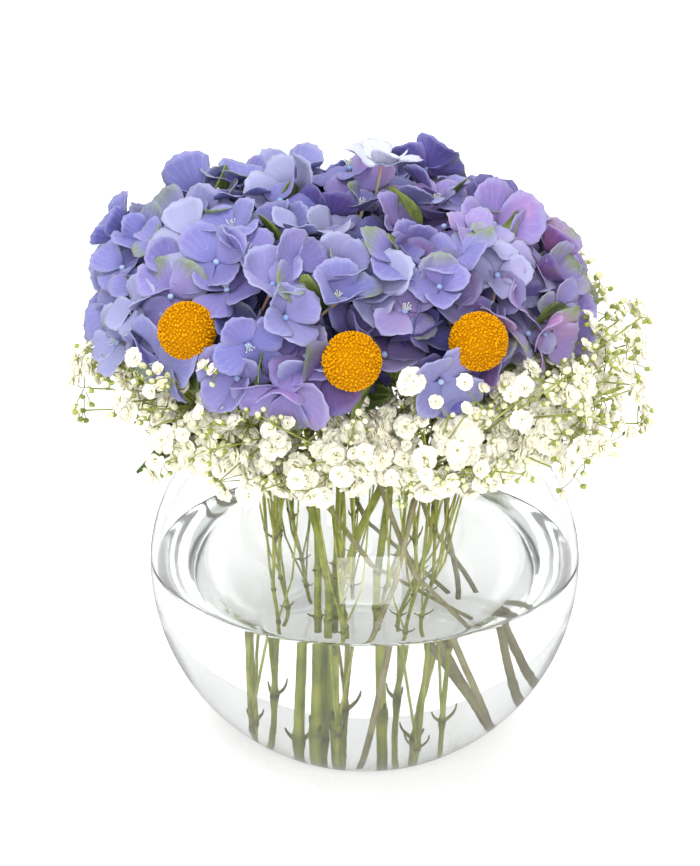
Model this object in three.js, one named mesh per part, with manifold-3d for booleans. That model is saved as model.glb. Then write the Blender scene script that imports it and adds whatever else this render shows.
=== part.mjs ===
// Hydrangeas, billy buttons and baby's breath in a round glass bowl of water.
//
// Millimetres, +Z up. The origin is the centre of the bowl's flat foot, +X is to the right and
// -Y is the front. Every flower stands on a stem that runs down through the bowl's mouth to its
// floor. Flower heads and sprays are plain closed bodies of the right size and place.
import * as THREE from "three";
import { mergeVertices } from "three/addons/utils/BufferGeometryUtils.js";
import Module from "manifold-3d";

const wasm = await Module();
wasm.setup();

// ---- driving dimensions ----
const GAP = 0.4; // clearance between pieces that touch

const BOWL = {
  radius: 100, // outside, at the widest
  waist: 88, // height of the widest place
  crown: 84, // vertical half-axis of the upper part
  height: 155,
  wall: 3,
  floor: 5,
  turns: 32, // sides of the faceted bowl
};
const WATER_LEVEL = 91;

// the five hydrangea heads press together into one dome, a little left of the bowl's axis
const DOME = { x: -9, y: 0, z: 214, radius: 112, rise: 60, depth: 26, sides: 24, bands: 9 };
// the top head is what this tall round body takes out of the middle of the dome
const TOP_CORE = { x: -9, y: 0, z: 214, radius: 50, rise: 110, depth: 90, sides: 16, bands: 8 };
const HEAD_ANGLES = { front_left: -132, front_right: -48, back_right: 42, back_left: 134 };
const HEAD_REACH = 62; // from the dome's axis to the top of an outer head's stem

const BALL = { radius: 12.6, reach: 105, sides: 12, bands: 8 };

const SPRAY_COUNT = 9;
const SPRAY = { along: 42, across: 36, thick: 23, reach: 88, z: 180, tilt: 35, sides: 12, bands: 7 };
const SPRAY_STEM_TOP = { reach: 60, z: 163 };

const STEM_INTO_HEAD = 4; // how far a hydrangea's stem reaches up into its head

// diameter, sides and number of segments of each kind of stem
const HYDRANGEA_STEM = { diameter: 4.6, sides: 8, steps: 6 };
const BUTTON_STEM = { diameter: 3.4, sides: 6, steps: 5 };
const BREATH_STEM = { diameter: 3, sides: 6, steps: 6 };

const COLOURS = {
  glass: 0xeef3f2,
  water: 0xe6eeec,
  petals: 0x8f8fd6,
  stem: 0x7f9a45,
  wood: 0x8a8768,
  button: 0xe8a812,
  breath: 0xf3f2e6,
  leaf: 0x4f6b2c,
};

// ---- helpers ----
const radians = THREE.MathUtils.degToRad;

/** A point at a distance and an angle in degrees from an axis. */
function around(axis, reach, angle, z) {
  const a = radians(angle);
  return new THREE.Vector3(axis.x + reach * Math.cos(a), axis.y + reach * Math.sin(a), z);
}

/** A three.js geometry as a manifold-3d solid. */
function solid(geometry) {
  const bare = geometry.index ? geometry.toNonIndexed() : geometry.clone();
  bare.deleteAttribute("normal");
  bare.deleteAttribute("uv");
  const merged = mergeVertices(bare, 1e-4);
  return new wasm.Manifold(
    new wasm.Mesh({
      numProp: 3,
      vertProperties: merged.attributes.position.array,
      triVerts: new Uint32Array(merged.index.array),
    }),
  );
}

/** A manifold-3d solid back as a three.js geometry. */
function geometryOf(body) {
  const mesh = body.getMesh();
  const count = mesh.numVert;
  const places = new Float32Array(count * 3);
  for (let i = 0; i < count; i++) {
    places.set(mesh.vertProperties.subarray(i * mesh.numProp, i * mesh.numProp + 3), i * 3);
  }
  const geometry = new THREE.BufferGeometry();
  geometry.setAttribute("position", new THREE.BufferAttribute(places, 3));
  geometry.setIndex(new THREE.BufferAttribute(new Uint32Array(mesh.triVerts), 1));
  geometry.computeVertexNormals();
  return geometry;
}

/** The largest of a solid's separate bodies, so that a cut leaves no loose sliver. */
function largest(body) {
  return body.decompose().reduce((a, b) => (a.volume() > b.volume() ? a : b));
}

const root = new THREE.Group();

/** Adds one named piece made from a manifold-3d solid. */
function addPiece(name, body, colour, roughness = 0.7, extra = {}) {
  const material = new THREE.MeshStandardMaterial({ color: colour, roughness, metalness: 0, ...extra });
  const mesh = new THREE.Mesh(geometryOf(body), material);
  mesh.name = name;
  root.add(mesh);
}

// ---- the bowl and its water ----

/** The bowl's outside radius at a height: a circle's arc below the waist, a flatter ellipse's above. */
function bowlRadius(z, inset = 0) {
  const outer = BOWL.radius - inset;
  const half = (z > BOWL.waist ? BOWL.crown : BOWL.radius) - inset;
  return outer * Math.sqrt(Math.max(0, 1 - ((z - BOWL.waist) / half) ** 2));
}

/** Points up the bowl's wall between two heights, evenly spaced along the arc. */
function wallPoints(from, to, count, inset) {
  const half = (side) => (side > 0 ? BOWL.crown : BOWL.radius) - inset;
  const turn = (z) => Math.asin((z - BOWL.waist) / half(z - BOWL.waist));
  return Array.from({ length: count + 1 }, (_, i) => {
    const angle = turn(from) + ((turn(to) - turn(from)) * i) / count;
    const z = BOWL.waist + half(angle) * Math.sin(angle);
    return new THREE.Vector2(bowlRadius(z, inset), z);
  });
}

/** A body of revolution from an outline that starts and ends on the axis. */
function turned(outline) {
  return solid(new THREE.LatheGeometry(outline, BOWL.turns).rotateX(Math.PI / 2));
}

function bowl() {
  const outside = wallPoints(0, BOWL.height, 10, 0);
  const rim = outside.at(-1).clone().add(new THREE.Vector2(-BOWL.wall, BOWL.wall / 3));
  const below = wallPoints(BOWL.floor, WATER_LEVEL, 6, BOWL.wall);
  const above = wallPoints(WATER_LEVEL, BOWL.height, 4, BOWL.wall).slice(1);
  const inside = [...below, ...above].reverse();
  return turned([new THREE.Vector2(0, 0), ...outside, rim, ...inside, new THREE.Vector2(0, BOWL.floor)]);
}

/** The bowl's outside as one full body, for cutting what hangs over its rim. */
function filledBowl(grow) {
  const side = wallPoints(0, BOWL.height, 10, -grow);
  const top = BOWL.height + BOWL.wall / 3 + grow;
  return turned([new THREE.Vector2(0, 0), ...side, new THREE.Vector2(side.at(-1).x, top), new THREE.Vector2(0, top)]);
}

/** The whole body of water, before the stems are cut out of it. */
function water() {
  const inset = BOWL.wall + GAP;
  const side = wallPoints(BOWL.floor + GAP, WATER_LEVEL, 6, inset);
  return turned([new THREE.Vector2(0, BOWL.floor + GAP), ...side, new THREE.Vector2(0, WATER_LEVEL)]);
}

// ---- stems ----

/** A round stem through the given points, grown by a clearance when it is used as a cutter. */
function stemBody(points, { diameter, sides, steps }, grow = 0) {
  const line = points.map((p) => p.clone());
  if (grow > 0) {
    // the cutter runs past both ends, so that it leaves a clearance there as well
    const last = line.length - 1;
    line[0].add(line[0].clone().sub(line[1]).setLength(grow * 2));
    line[last].add(line[last].clone().sub(line[last - 1]).setLength(grow));
  }
  const path = new THREE.CatmullRomCurve3(line, false, "centripetal");
  const section = new THREE.Shape().absarc(0, 0, diameter / 2 + grow, 0, 2 * Math.PI);
  const tube = new THREE.ExtrudeGeometry(section, {
    steps,
    curveSegments: sides / 2,
    bevelEnabled: false,
    extrudePath: path,
  });
  return solid(tube);
}

// ---- flower heads ----

/** A round body with a high dome and a shallow underside. */
function mound({ x, y, z, radius, rise, depth, sides, bands }, grow = 0) {
  const round = new THREE.SphereGeometry(1, sides, bands).rotateX(Math.PI / 2);
  const position = round.attributes.position;
  for (let i = 0; i < position.count; i++) {
    const up = position.getZ(i);
    const tall = (up > 0 ? rise : depth) + grow;
    const wide = radius + grow;
    position.setXYZ(i, position.getX(i) * wide, position.getY(i) * wide, up * tall);
  }
  return solid(round.translate(x, y, z));
}

/** The part of a body on a's side of the upright plane halfway between two points. */
function keepSide(body, a, b, gap) {
  const away = a.clone().sub(b).setZ(0).normalize();
  const middle = a.clone().lerp(b, 0.5);
  return body.trimByPlane(away.toArray(), away.dot(middle) + gap);
}

/** The place of an outer head, on the dome's middle plane. */
function headPlace(name) {
  return around(DOME, HEAD_REACH, HEAD_ANGLES[name], DOME.z);
}

/** The head in the middle of the dome. */
function topHead() {
  return mound(DOME).intersect(mound(TOP_CORE));
}

/** An outer head: its share of the dome, flattened against its neighbours and the top head. */
function outerHead(name) {
  const names = Object.keys(HEAD_ANGLES);
  const at = names.indexOf(name);
  const beside = [names.at(at - 1), names[(at + 1) % names.length]];
  const start = mound(DOME).subtract(mound(TOP_CORE, GAP));
  return beside.reduce((body, other) => keepSide(body, headPlace(name), headPlace(other), GAP), start);
}

/** A billy button's round head. */
function ball(centre, grow = 0) {
  const round = new THREE.SphereGeometry(BALL.radius + grow, BALL.sides, BALL.bands);
  return solid(round.rotateX(Math.PI / 2).translate(centre.x, centre.y, centre.z));
}

// ---- where each stem runs: foot, waist and neck by hand, and top under its flower ----
const p = (x, y, z) => new THREE.Vector3(x, y, z);

/** The place just inside a head's underside where its stem ends. */
function stemTop(name) {
  const place = name === "top" ? p(DOME.x, DOME.y, 0) : headPlace(name);
  const share = place.clone().setZ(0).distanceTo(p(DOME.x, DOME.y, 0)) / DOME.radius;
  const underside = DOME.z - DOME.depth * Math.sqrt(1 - share ** 2);
  return place.setZ(underside + STEM_INTO_HEAD);
}

const HYDRANGEA_ROUTES = {
  top: [p(-14, -9, 8), p(-13, -7, 90), p(-10, 1, 150)],
  front_left: [p(-17, -16, 8), p(-18, -14, 90), p(-33, -26, 150)],
  front_right: [p(-9, -16, 8), p(-9, -13, 90), p(17, -26, 150)],
  back_right: [p(6, -7, 8), p(7, -3, 90), p(20, 26, 150)],
  back_left: [p(-22, -9, 8), p(-22, -5, 90), p(-27, 20, 150)],
};

// angle round the dome and height of each billy button, then its straight stem's neck and foot
const BUTTONS = [
  { angle: -128, height: 229, neck: p(-34, -35, 154), foot: p(50, -2, 15) },
  { angle: -88, height: 224, neck: p(3, -45, 154), foot: p(50, -14, 15) },
  { angle: -58, height: 227, neck: p(27, -40, 154), foot: p(-2, -46, 12) },
  { angle: 40, height: 229, neck: p(40, 27, 154), foot: p(46, 20, 14) },
  { angle: 90, height: 226, neck: p(12, 43, 154), foot: p(54, 22, 20) },
  { angle: 140, height: 229, neck: p(-32, 39, 154), foot: p(40, 30, 10) },
];

// foot, waist and neck of each baby's breath stem, from the front round to the left
const BREATH_ROUTES = [
  [p(-10, -30, 9), p(-10, -33, 90), p(-10, -42, 151)],
  [p(18, -24, 9), p(24, -22, 90), p(21, -40, 150)],
  [p(26, -16, 9), p(32, -14, 90), p(39, -15, 151)],
  [p(14, -10, 9), p(30, 5, 90), p(42, 9, 151)],
  [p(8, 14, 9), p(18, 20, 90), p(26, 34, 151)],
  [p(-6, 22, 9), p(-5, 24, 90), p(-7, 41, 149)],
  [p(-26, 16, 9), p(-33, 20, 90), p(-41, 22, 150)],
  [p(-36, -4, 9), p(-40, -2, 90), p(-43, 4, 151)],
  [p(-40, -18, 9), p(-42, -18, 90), p(-41, -19, 150)],
];

// ---- sprays of baby's breath, a collar that leans out over the bowl's rim ----
const sprayAngle = (i) => -105 + (360 / SPRAY_COUNT) * i;

function sprayPlace(i) {
  return around(p(0, 0, 0), SPRAY.reach, sprayAngle(i), SPRAY.z);
}

/** The low inner place where a spray's stem ends. */
function sprayFoot(i) {
  return around(p(0, 0, 0), SPRAY_STEM_TOP.reach, sprayAngle(i), SPRAY_STEM_TOP.z);
}

function sprayBody(i) {
  const round = new THREE.SphereGeometry(1, SPRAY.sides, SPRAY.bands).rotateX(Math.PI / 2);
  round.scale(SPRAY.along, SPRAY.across, SPRAY.thick).rotateY(-radians(SPRAY.tilt));
  round.rotateZ(radians(sprayAngle(i)));
  const place = sprayPlace(i);
  const start = solid(round.translate(place.x, place.y, place.z));
  const beside = [sprayPlace((i + 1) % SPRAY_COUNT), sprayPlace((i + SPRAY_COUNT - 1) % SPRAY_COUNT)];
  return beside.reduce((body, other) => keepSide(body, place, other, GAP), start);
}

// ---- leaves, flat and drooping over the bowl's shoulder ----
const LEAVES = [
  { angle: -165, twist: -15, droop: 20, place: around(p(0, 0, 0), 62, -165, 157) },
  { angle: 35, twist: 15, droop: 20, place: around(p(0, 0, 0), 62, 35, 157) },
  { angle: 115, twist: 10, droop: 20, place: around(p(0, 0, 0), 62, 115, 157) },
];
const LEAF = { length: 46, width: 28, thick: 1.2, steps: 6 };

/** A pointed leaf as an extruded outline, bent down to its tip. */
function leafBody({ angle, twist, droop, place }, grow = 0) {
  const outline = new THREE.Shape();
  outline.moveTo(0, 0);
  outline.quadraticCurveTo(LEAF.length * 0.3, LEAF.width * 0.85, LEAF.length, 0);
  outline.quadraticCurveTo(LEAF.length * 0.3, -LEAF.width * 0.85, 0, 0);
  const slab = new THREE.ExtrudeGeometry(outline, {
    depth: LEAF.thick + 2 * grow,
    curveSegments: LEAF.steps,
    bevelEnabled: false,
  });
  slab.translate(0, 0, -grow).rotateX(radians(twist)).rotateY(radians(droop)).rotateZ(radians(angle));
  return solid(slab.translate(place.x, place.y, place.z));
}

// ---- assembly ----
addPiece("vase", bowl(), COLOURS.glass, 0.02, { transparent: true, opacity: 0.35 });

const cutters = []; // grown copies of every stem and ball, for cutting the soft bodies and the water

for (const name of ["top", ...Object.keys(HEAD_ANGLES)]) {
  const route = [...HYDRANGEA_ROUTES[name], stemTop(name)];
  addPiece(`hydrangea_stem_${name}`, stemBody(route, HYDRANGEA_STEM), COLOURS.stem);
  cutters.push(stemBody(route, HYDRANGEA_STEM, GAP));
}

BUTTONS.forEach(({ angle, height, neck, foot }, i) => {
  const centre = around(DOME, BALL.reach, angle, height);
  const inward = neck.clone().sub(centre).setLength(BALL.radius + GAP);
  const route = [foot, neck, centre.clone().add(inward)];
  addPiece(`billy_button_stem_${i + 1}`, stemBody(route, BUTTON_STEM), COLOURS.wood);
  addPiece(`billy_button_${i + 1}`, ball(centre), COLOURS.button, 0.85);
  cutters.push(stemBody(route, BUTTON_STEM, GAP), ball(centre, GAP * 1.5));
});

BREATH_ROUTES.forEach((points, i) => {
  const route = [...points, sprayFoot(i)];
  addPiece(`babys_breath_stem_${i + 1}`, stemBody(route, BREATH_STEM), COLOURS.stem);
  cutters.push(stemBody(route, BREATH_STEM, GAP));
});

/** A soft body with room cut into it for the pieces it touches. */
const fitted = (body, others) => largest(others.reduce((rest, other) => rest.subtract(other), body));

addPiece("hydrangea_head_top", fitted(topHead(), cutters), COLOURS.petals, 0.6);
for (const name of Object.keys(HEAD_ANGLES)) {
  addPiece(`hydrangea_head_${name}`, fitted(outerHead(name), cutters), COLOURS.petals, 0.6);
}

LEAVES.forEach((leaf, i) => {
  addPiece(`leaf_${i + 1}`, leafBody(leaf), COLOURS.leaf, 0.6);
});

const collarCutters = [
  ...cutters,
  mound(DOME, GAP),
  filledBowl(GAP),
  ...LEAVES.map((leaf) => leafBody(leaf, GAP)),
];
for (let i = 0; i < SPRAY_COUNT; i++) {
  addPiece(`babys_breath_${i + 1}`, fitted(sprayBody(i), collarCutters), COLOURS.breath, 0.9);
}

addPiece("water", fitted(water(), cutters), COLOURS.water, 0.02, { transparent: true, opacity: 0.3 });

export default root;
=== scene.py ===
"""Hydrangeas, billy buttons and baby's breath in a round glass bowl of water.

Builds every visible piece around the packed CAD model and rides it on that model's one body.
Lengths are in metres, +Z is up, and the origin is the middle of the bowl's foot. A shape is a
function of two parameters on a grid, worked out with numpy as whole arrays, and each function's
docstring gives its formula in words.
"""

import functools
import math

import bpy
import numpy as np
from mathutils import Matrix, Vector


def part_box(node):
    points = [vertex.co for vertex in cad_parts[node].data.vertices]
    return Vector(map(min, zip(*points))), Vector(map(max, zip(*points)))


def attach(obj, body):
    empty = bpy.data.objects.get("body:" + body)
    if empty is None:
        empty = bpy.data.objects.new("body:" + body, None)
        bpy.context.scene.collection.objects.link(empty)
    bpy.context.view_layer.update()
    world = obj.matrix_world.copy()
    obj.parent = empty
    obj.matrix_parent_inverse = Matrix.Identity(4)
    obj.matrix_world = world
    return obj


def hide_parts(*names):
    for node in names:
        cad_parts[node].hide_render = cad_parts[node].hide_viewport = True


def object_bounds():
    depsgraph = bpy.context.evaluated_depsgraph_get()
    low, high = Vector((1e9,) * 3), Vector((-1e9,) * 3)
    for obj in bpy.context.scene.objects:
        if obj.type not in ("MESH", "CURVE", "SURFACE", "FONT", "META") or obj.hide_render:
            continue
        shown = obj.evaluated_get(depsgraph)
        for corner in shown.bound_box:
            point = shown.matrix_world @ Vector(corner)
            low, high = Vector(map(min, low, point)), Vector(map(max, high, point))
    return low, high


bl_info = {
    "name": "Flower Bowl",
    "version": (1, 0, 0),
    "blender": (4, 5, 0),
    "location": "3D View > Sidebar > Flowers",
    "description": "Hydrangeas, billy buttons and baby's breath in a glass bowl of water",
    "category": "Object",
}

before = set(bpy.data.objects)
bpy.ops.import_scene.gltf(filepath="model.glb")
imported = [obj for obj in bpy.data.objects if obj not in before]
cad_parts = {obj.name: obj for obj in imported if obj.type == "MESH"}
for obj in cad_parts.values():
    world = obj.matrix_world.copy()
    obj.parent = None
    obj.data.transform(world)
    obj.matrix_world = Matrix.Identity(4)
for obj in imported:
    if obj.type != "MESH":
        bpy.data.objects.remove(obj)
CAD_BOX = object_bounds()
BODY = "root"
MM = 0.001
UP = np.array([0, 0, 1.0])
GOLDEN_ANGLE = math.pi * (3 - math.sqrt(5))


# ---------------------------------------------------------------- places read from the frame


def corners(node):
    """A CAD node's lowest and highest corner."""
    low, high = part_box(node)
    return np.array(low), np.array(high)


def middle(node):
    """The middle of a CAD node's box."""
    return np.mean(corners(node), axis=0)


def nodes_named(start):
    """The names of the CAD nodes that begin with some words, in order."""
    return sorted(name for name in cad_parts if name.startswith(start))


HEADS = nodes_named("hydrangea_head_")
BUTTONS = [name for name in nodes_named("billy_button_") if "stem" not in name]
SPRAYS = [name for name in nodes_named("babys_breath_") if "stem" not in name]
LEAVES = nodes_named("leaf_")


def stem_line(node, rows):
    """The middle line of a CAD stem, from its foot to its top.

    The CAD mesh is cut by level planes. The middle of each cut gives one place, and a curve of the
    fourth degree in height is laid through them.
    """
    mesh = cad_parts[node].data
    places = np.empty(len(mesh.vertices) * 3)
    mesh.vertices.foreach_get("co", places)
    ends = np.empty(len(mesh.edges) * 2, dtype=int)
    mesh.edges.foreach_get("vertices", ends)
    edges = places.reshape(-1, 3)[ends.reshape(-1, 2)]
    low, high = places.reshape(-1, 3)[:, 2].min(), places.reshape(-1, 3)[:, 2].max()
    levels = np.linspace(low + 3 * MM, high - 3 * MM, 40)
    start, end = edges[None, :, 0], edges[None, :, 1]
    rise = end[..., 2] - start[..., 2]
    share = (levels[:, None] - start[..., 2]) / np.where(np.abs(rise) < 1e-9, np.inf, rise)
    crossing = ((share > 0) & (share < 1)).astype(float)[..., None]
    cuts = (start + (end - start) * share[..., None])[..., :2]
    centres = (cuts * crossing).sum(1) / crossing.sum(1)
    heights = np.linspace(low, high, rows)
    across = [np.polyval(np.polyfit(levels, centres[:, axis], 4), heights) for axis in (0, 1)]
    return np.stack([*across, heights], axis=-1)


# ---------------------------------------------------------------- sizes and colours to change


def length(name, default, description):
    """A length property in metres."""
    return bpy.props.FloatProperty(
        name=name, default=default, description=description, unit="LENGTH", precision=4
    )


def degrees(name, default, description):
    """An angle property, given in degrees."""
    return bpy.props.FloatProperty(
        name=name, default=math.radians(default), description=description, subtype="ANGLE"
    )


def colour(name, default, description):
    """A colour property."""
    return bpy.props.FloatVectorProperty(
        name=name, default=default, description=description, subtype="COLOR", size=3, min=0, max=1
    )


def count(name, default, description):
    """A whole number property."""
    return bpy.props.IntProperty(name=name, default=default, description=description, min=1)


class BowlSettings(bpy.types.PropertyGroup):
    """The glass bowl and its water."""

    radius: length("Radius", 0.1, "Outside radius of the bowl at its widest")
    waist: length("Waist", 0.088, "Height of the bowl's widest place")
    crown: length("Crown", 0.084, "Vertical half-axis of the bowl above its waist")
    height: length("Height", 0.155, "Height of the rim")
    wall: length("Wall", 0.003, "Thickness of the glass")
    floor: length("Floor", 0.005, "Thickness of the glass under the water")
    level: length("Water level", 0.091, "Height of the water")
    glass: colour("Glass", (0.975, 0.985, 0.982), "Tint of the glass")
    water: colour("Water", (0.985, 0.99, 0.985), "Tint of the water")


class HydrangeaSettings(bpy.types.PropertyGroup):
    """The hydrangea heads and their stems."""

    rise: length("Rise", 0.06, "Height of the dome above its widest place")
    depth: length("Depth", 0.026, "Depth of the dome below its widest place")
    core: length("Core", 0.046, "How far the top head reaches from the dome's axis")
    outer: count("Outer florets", 152, "Florets on the dome's surface")
    inner: count("Inner florets", 84, "Florets behind the outer ones")
    core_florets: count("Core florets", 56, "Florets deep in the dome")
    sepal: length("Sepal", 0.0168, "Length of one sepal")
    stalk: length("Stalk", 0.0007, "Radius of a floret's stalk")
    stem: length("Stem", 0.0018, "Radius of a head's stem")
    blue: colour("Blue", (0.096, 0.097, 0.41), "Sepals on the blue side")
    lilac: colour("Lilac", (0.245, 0.112, 0.43), "Sepals on the lilac side")
    pink: colour("Pink", (0.42, 0.165, 0.37), "Flushes on the lilac side")
    pale: colour("Pale", (0.36, 0.375, 0.56), "Pale sepals and edges")
    # painted shade: the dark colour that sepals deep in the dome are mixed towards, standing in for the
    # shade there
    deep: colour("Deep", (0.02, 0.01, 0.115), "Sepals deep in the dome")
    green: colour("Green", (0.19, 0.26, 0.07), "Green tips of some sepals")


class ButtonSettings(bpy.types.PropertyGroup):
    """The billy buttons and their stems."""

    florets: count("Florets", 860, "Tiny florets on one button")
    stem: length("Stem", 0.00122, "Radius of a button's stem")
    gold: colour("Gold", (0.74, 0.31, 0.0), "Tops of the florets")
    amber: colour("Amber", (0.27, 0.065, 0.0), "Gaps between the florets")


class BreathSettings(bpy.types.PropertyGroup):
    """The baby's breath."""

    along: length("Along", 0.036, "Half-length of a spray")
    across: length("Across", 0.037, "Half-width of a spray")
    thick: length("Thick", 0.024, "Half-thickness of a spray")
    tilt: degrees("Tilt", 16, "Rise of a spray outwards")
    bloom: length("Bloom", 0.0056, "Radius of an open flower")
    spacing: length("Spacing", 0.0069, "Least distance between two flowers")
    stem: length("Stem", 0.00086, "Radius of a spray's stem")
    white: colour("White", (0.97, 0.94, 0.79), "Petals")
    green: colour("Green", (0.4, 0.45, 0.1), "Calyxes and stalks")


class StageSettings(bpy.types.PropertyGroup):
    """The camera, the floor and the light."""

    distance: length("Distance", 1.103, "From the camera to the middle of the bowl")
    elevation: degrees("Elevation", 25, "Camera's height as an angle")
    pitch: degrees("Pitch", 22, "How far the camera looks down")
    yaw: degrees("Yaw", 0.39, "How far the camera turns left")
    focal: bpy.props.FloatProperty(
        name="Focal length", default=120.9, description="Focal length in millimetres", min=1
    )


SETTINGS = {
    "flower_bowl": BowlSettings,
    "flower_hydrangea": HydrangeaSettings,
    "flower_button": ButtonSettings,
    "flower_breath": BreathSettings,
    "flower_stage": StageSettings,
}


# ---------------------------------------------------------------- surfaces on grids


def unit(vectors):
    """Vectors brought to length one."""
    return vectors / np.linalg.norm(vectors, axis=-1, keepdims=True)


def frames(axes, spin=0.0):
    """Two directions square to each axis and to each other, turned round it by a spin.

    The first is the cross product of the axis with the row axis that it leans to least, and the
    second is the cross product of the axis with the first, so the three are right-handed.
    """
    guide = np.eye(3)[np.argmin(np.abs(axes), axis=-1)]
    side = unit(np.cross(axes, guide))
    over = np.cross(axes, side)
    spin = np.broadcast_to(spin, axes.shape[:-1])[..., None]
    return side * np.cos(spin) + over * np.sin(spin), over * np.cos(spin) - side * np.sin(spin)


def turned(first, second, angle):
    """Two coordinates turned together by an angle."""
    across = first * np.cos(angle) - second * np.sin(angle)
    return across, first * np.sin(angle) + second * np.cos(angle)


def laid(places, ways, parts):
    """Shapes at places: each part is a coordinate along its own way, and the three are added up."""

    def spread(vectors):
        return vectors.reshape(len(vectors), *[1] * (parts[0].ndim - 1), 3)

    first, second, third = (spread(way) * part[..., None] for way, part in zip(ways, parts))
    return spread(places) + (first + second + third)


class Bunch:
    """Collects surfaces and makes one mesh object of them."""

    def __init__(self):
        self.points = []
        self.quads = []
        self.slots = []
        self.uvs = []
        self.marks = {}
        self.total = 0

    def add(self, grids, closed=False, slot=0, **marks):
        """Adds sheets of quads: grids holds points, shaped (how many, rows, columns, 3).

        With closed, the columns run round and meet, and strips of quads close both end rows. The
        UV map runs from 0 to 1 along the rows and across the columns. Each mark is a number at
        each point, given in any shape that spreads over (how many, rows, columns).
        """
        many, rows, columns = grids.shape[:3]
        index = np.arange(rows * columns).reshape(rows, columns)
        left = index if closed else index[:, :-1]
        right = np.roll(index, -1, axis=1) if closed else index[:, 1:]
        quads = np.stack([left[:-1], right[:-1], right[1:], left[1:]], axis=-1).reshape(-1, 4)
        if closed:
            step = np.arange(columns // 2 - 1)
            strip = np.stack([step, columns - 1 - step, columns - 2 - step, step + 1], axis=-1)
            quads = np.concatenate([quads, index[0][strip], index[-1][strip][:, ::-1]])
        shift = self.total + np.arange(many)[:, None, None] * rows * columns
        self.points.append(grids.reshape(-1, 3))
        self.quads.append((quads[None] + shift).reshape(-1, 4))
        self.slots.append(np.full(many * len(quads), slot))
        u, v = np.meshgrid(np.linspace(0, 1, rows), np.linspace(0, 1, columns), indexing="ij")
        self.uvs.append(np.tile(np.stack([u, v], axis=-1).reshape(-1, 2), (many, 1)))
        for name in {**self.marks, **marks}:
            values = np.broadcast_to(marks.get(name, 0.0), (many, rows, columns)).ravel()
            self.marks.setdefault(name, [np.zeros(self.total)]).append(values)
        self.total += many * rows * columns

    def stalks(self, starts, ends, bow, rows, radii, sides, **more):
        """Adds round stalks from starts to ends, bowed sideways by a half sine."""
        self.add(rods(bent(starts, ends, bow, rows), radii, sides), closed=True, **more)

    def beads(self, centres, axes, radii, heights, rows, sides, squeeze=0.0, **more):
        """Adds round beads."""
        self.add(blobs(centres, axes, radii, heights, rows, sides, squeeze), closed=True, **more)

    def make(self, name, materials, node, thickness=0.0, back=0):
        """One smooth object from all that was added, standing for a CAD node."""
        points = np.concatenate(self.points)
        quads = np.concatenate(self.quads)
        mesh = bpy.data.meshes.new(name)
        mesh.vertices.add(len(points))
        mesh.vertices.foreach_set("co", points.ravel())
        mesh.loops.add(quads.size)
        mesh.loops.foreach_set("vertex_index", quads.ravel())
        mesh.polygons.add(len(quads))
        mesh.polygons.foreach_set("loop_start", np.arange(0, quads.size, 4))
        mesh.polygons.foreach_set("material_index", np.concatenate(self.slots))
        mesh.update(calc_edges=True)
        mesh.shade_smooth()
        uvs = np.concatenate(self.uvs)
        mesh.uv_layers.new(name="surface").data.foreach_set("uv", uvs[quads.ravel()].ravel())
        for mark, values in self.marks.items():
            values = np.concatenate(values)
            mesh.attributes.new(mark, "FLOAT", "POINT").data.foreach_set("value", values)
        for material in materials:
            mesh.materials.append(material)
        piece = bpy.data.objects.new(name, mesh)
        bpy.context.scene.collection.objects.link(piece)
        if thickness:
            shell = piece.modifiers.new("thickness", "SOLIDIFY")
            shell.thickness = thickness
            shell.offset = 0
            shell.material_offset = back
            shell.material_offset_rim = back
        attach(piece, BODY)
        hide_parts(node)


def lathe(profile, sides):
    """A profile of radius and height, carried once round the upright axis."""
    turn = np.linspace(0, 2 * np.pi, sides, endpoint=False)
    radius = profile[:, 0, None]
    height = np.broadcast_to(profile[:, 1, None], (len(profile), sides))
    return np.stack([radius * np.cos(turn), radius * np.sin(turn), height], axis=-1)[None]


def rods(paths, radii, sides):
    """Round stalks: at each point of a path, a circle of that radius, square to the path."""
    along = unit(np.gradient(paths, axis=1))
    guide = np.eye(3)[np.argmin(np.abs(paths[:, -1] - paths[:, 0]), axis=-1)]
    side = unit(np.cross(along, guide[:, None]))
    over = np.cross(along, side)
    turn = np.linspace(0, 2 * np.pi, sides, endpoint=False)[:, None]
    ring = side[:, :, None] * np.cos(turn) + over[:, :, None] * np.sin(turn)
    return paths[:, :, None] + np.broadcast_to(radii, paths.shape[:2])[..., None, None] * ring


def bent(starts, ends, bow, rows):
    """Paths from starts to ends, bowed sideways by a half sine of the given height vectors."""
    share = np.linspace(0, 1, rows)[:, None]
    straight = starts[:, None] + (ends - starts)[:, None] * share
    return straight + bow[:, None] * np.sin(np.pi * share)


def blobs(centres, axes, radii, heights, rows, sides, squeeze):
    """Round beads: circles of radius sin(a) at height -cos(a) along the axis, a from near 0 to near pi.

    A squeeze above 0 narrows the bead towards its far end.
    """
    angle = np.linspace(0.3, np.pi - 0.3, rows)
    side, over = frames(axes)
    turn = np.linspace(0, 2 * np.pi, sides, endpoint=False)
    round_ = side[:, None] * np.cos(turn)[:, None] + over[:, None] * np.sin(turn)[:, None]
    wide = np.sin(angle) * (1 - squeeze * (1 - np.cos(angle)) / 2)
    tall = -np.cos(angle)
    radii = np.broadcast_to(radii, len(centres))[:, None, None, None]
    heights = np.broadcast_to(heights, len(centres))[:, None, None, None]
    ring = round_[:, None] * (radii * wide[:, None, None])
    return centres[:, None, None] + ring + axes[:, None, None] * (heights * tall[:, None, None])


def level_ways(turn):
    """The level direction at each angle round the upright axis."""
    return np.stack([np.cos(turn), np.sin(turn), 0 * turn], axis=-1)


def at_heights(path, heights):
    """The places where a path passes some heights."""
    return np.stack([np.interp(heights, path[:, 2], path[:, axis]) for axis in range(3)], axis=-1)


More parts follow.
